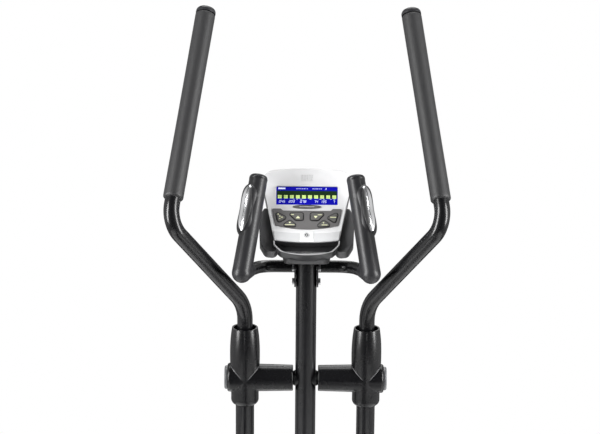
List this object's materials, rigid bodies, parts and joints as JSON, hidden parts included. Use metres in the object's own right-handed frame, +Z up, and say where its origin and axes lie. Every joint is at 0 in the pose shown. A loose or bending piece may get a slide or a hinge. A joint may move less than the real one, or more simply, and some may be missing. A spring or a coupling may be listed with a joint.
{
  "type": "elliptical trainer",
  "caption": "Upright cross trainer with moving padded handles, fixed pulse grips, a display console and a covered rear crank drive with pedal platforms.",
  "frame": {"origin": "on the floor under the middle of the machine", "axes": "+X to the user's right, +Y the way the user faces, +Z up"},
  "size_m": [0.569, 1.456, 1.5957],
  "materials": {
    "frame_black": "satin black powder coat",
    "mast_black": "gloss black paint",
    "stabilizer_black": "satin black powder coat",
    "rubber_black": "moulded",
    "wheel_grey": "moulded",
    "arm_black": "gloss black paint",
    "foam_charcoal": "closed-cell foam, matt",
    "cap_black": "moulded",
    "boot_charcoal": "moulded",
    "silver_cap": "silver paint",
    "steel": "zinc plated",
    "bearing_steel": "ground",
    "bushing_nylon": "nylon",
    "pedal_grey": "textured",
    "cover_grey": "moulded",
    "disc_silver": "silver paint",
    "pulley_black": "glass-filled nylon",
    "flywheel_iron": "machined",
    "belt_rubber": "ribbed",
    "motor_case": "moulded",
    "fascia_white": "satin",
    "console_charcoal": "textured",
    "lcd_blue": "display behind clear lens",
    "keypad_grey": "membrane",
    "button_yellow": "silicone",
    "jack_white": "moulded",
    "tray_grey": "moulded",
    "board_green": "solder resist",
    "pulse_grip_black": "moulded",
    "sensor_chrome": "plated",
    "inlet_black": "moulded"
  },
  "bodies": {
    "frame": {"base_spine": "frame_black", "mast": "mast_black", "front_stabilizer": "stabilizer_black", "rear_stabilizer": "stabilizer_black", "stabilizer_caps": "cap_black", "front_feet": "rubber_black", "pivot_axle": "steel", "pivot_bushings": "bushing_nylon", "crank_bearings": "bearing_steel", "flywheel_axle": "steel", "drive_belt": "belt_rubber", "brake_motor": "motor_case", "drive_cover_left": "cover_grey", "drive_cover_right": "cover_grey", "power_inlet": "inlet_black", "pulse_bar": "arm_black", "bar_bracket": "frame_black", "frame_bolts": "steel", "pulse_grips": "pulse_grip_black", "sensor_plates": "sensor_chrome", "console_fascia": "fascia_white", "lcd_screen": "lcd_blue", "keypad_overlay": "keypad_grey", "audio_jack": "jack_white", "console_electronics": "board_green", "console_back": "console_charcoal", "accessory_tray": "tray_grey"},
    "crank": {"crank": "steel", "crank_discs": "disc_silver", "drive_pulley": "pulley_black"},
    "flywheel": {"flywheel": "flywheel_iron"},
    "magnet_brake": {"magnet_brake": "steel"},
    "handle_left": {"lower_arm_left": "arm_black", "upper_arm_left": "arm_black", "foam_grip_left": "foam_charcoal", "grip_cap_left": "cap_black", "boot_inner_left": "boot_charcoal", "boot_outer_left": "boot_charcoal", "pivot_cap_left": "silver_cap"},
    "pedal_arm_left": {"pedal_arm_left": "arm_black", "pedal_left": "pedal_grey"},
    "levelling_foot_left": {"levelling_foot_left": "rubber_black"},
    "transport_wheel_left": {"transport_wheel_left": "wheel_grey"},
    "handle_right": {"lower_arm_right": "arm_black", "upper_arm_right": "arm_black", "foam_grip_right": "foam_charcoal", "grip_cap_right": "cap_black", "boot_inner_right": "boot_charcoal", "boot_outer_right": "boot_charcoal", "pivot_cap_right": "silver_cap"},
    "pedal_arm_right": {"pedal_arm_right": "arm_black", "pedal_right": "pedal_grey"},
    "levelling_foot_right": {"levelling_foot_right": "rubber_black"},
    "transport_wheel_right": {"transport_wheel_right": "wheel_grey"},
    "button_outer_left": {"button_outer_left": "button_yellow"},
    "button_outer_right": {"button_outer_right": "button_yellow"},
    "button_up": {"button_up": "button_yellow"},
    "button_down": {"button_down": "button_yellow"},
    "button_lower_left": {"button_lower_left": "button_yellow"},
    "button_lower_right": {"button_lower_right": "button_yellow"}
  },
  "joints": [
    {"name": "left_handle_swing", "type": "hinge", "parent": "frame", "child": "handle_left", "pos_m": [-0.125, 0.52, 0.835], "axis": [1, 0, 0], "range_deg": [-20.5, 20.5]},
    {"name": "left_pedal_arm_pivot", "type": "hinge", "parent": "handle_left", "child": "pedal_arm_left", "pos_m": [-0.125, 0.57571, 0.30492], "axis": [1, 0, 0], "range_deg": [-20.5, 20.5]},
    {"name": "right_handle_swing", "type": "hinge", "parent": "frame", "child": "handle_right", "pos_m": [0.125, 0.52, 0.835], "axis": [1, 0, 0], "range_deg": [-20.5, 20.5]},
    {"name": "right_pedal_arm_pivot", "type": "hinge", "parent": "handle_right", "child": "pedal_arm_right", "pos_m": [0.125, 0.57571, 0.30492], "axis": [1, 0, 0], "range_deg": [-20.5, 20.5]},
    {"name": "crank_spin", "type": "hinge", "parent": "frame", "child": "crank", "pos_m": [0, -0.4, 0.30492], "axis": [1, 0, 0], "continuous": true},
    {"name": "flywheel_spin", "type": "hinge", "parent": "frame", "child": "flywheel", "pos_m": [0, -0.095, 0.245], "axis": [1, 0, 0], "continuous": true},
    {"name": "brake_swing", "type": "hinge", "parent": "frame", "child": "magnet_brake", "pos_m": [-0.01, -0.06815, 0.3527], "axis": [1, 0, 0], "range_deg": [0, 5]},
    {"name": "button_outer_left_press", "type": "slide", "parent": "frame", "child": "button_outer_left", "axis": [0, 0.788, -0.6157], "range_m": [0, 0.0012], "stiffness_N_per_m": 300},
    {"name": "button_outer_right_press", "type": "slide", "parent": "frame", "child": "button_outer_right", "axis": [0, 0.788, -0.6157], "range_m": [0, 0.0012], "stiffness_N_per_m": 300},
    {"name": "button_up_press", "type": "slide", "parent": "frame", "child": "button_up", "axis": [0, 0.788, -0.6157], "range_m": [0, 0.0012], "stiffness_N_per_m": 300},
    {"name": "button_down_press", "type": "slide", "parent": "frame", "child": "button_down", "axis": [0, 0.788, -0.6157], "range_m": [0, 0.0012], "stiffness_N_per_m": 300},
    {"name": "button_lower_left_press", "type": "slide", "parent": "frame", "child": "button_lower_left", "axis": [0, 0.788, -0.6157], "range_m": [0, 0.0012], "stiffness_N_per_m": 300},
    {"name": "button_lower_right_press", "type": "slide", "parent": "frame", "child": "button_lower_right", "axis": [0, 0.788, -0.6157], "range_m": [0, 0.0012], "stiffness_N_per_m": 300},
    {"name": "levelling_foot_left_turn", "type": "hinge", "parent": "frame", "child": "levelling_foot_left", "pos_m": [-0.205, -0.7, 0.01], "axis": [0, 0, 1], "continuous": true},
    {"name": "transport_wheel_left_spin", "type": "hinge", "parent": "frame", "child": "transport_wheel_left", "pos_m": [-0.26, 0.7, 0.04], "axis": [1, 0, 0], "continuous": true},
    {"name": "levelling_foot_right_turn", "type": "hinge", "parent": "frame", "child": "levelling_foot_right", "pos_m": [0.205, -0.7, 0.01], "axis": [0, 0, 1], "continuous": true},
    {"name": "transport_wheel_right_spin", "type": "hinge", "parent": "frame", "child": "transport_wheel_right", "pos_m": [0.26, 0.7, 0.04], "axis": [1, 0, 0], "continuous": true}
  ],
  "couplings": [
    {"joint": "right_handle_swing", "follows": "left_handle_swing", "ratio": -1},
    {"joint": "left_pedal_arm_pivot", "follows": "left_handle_swing", "ratio": -1},
    {"joint": "right_pedal_arm_pivot", "follows": "left_handle_swing", "ratio": 1},
    {"joint": "flywheel_spin", "follows": "crank_spin", "ratio": 6.25}
  ]
}
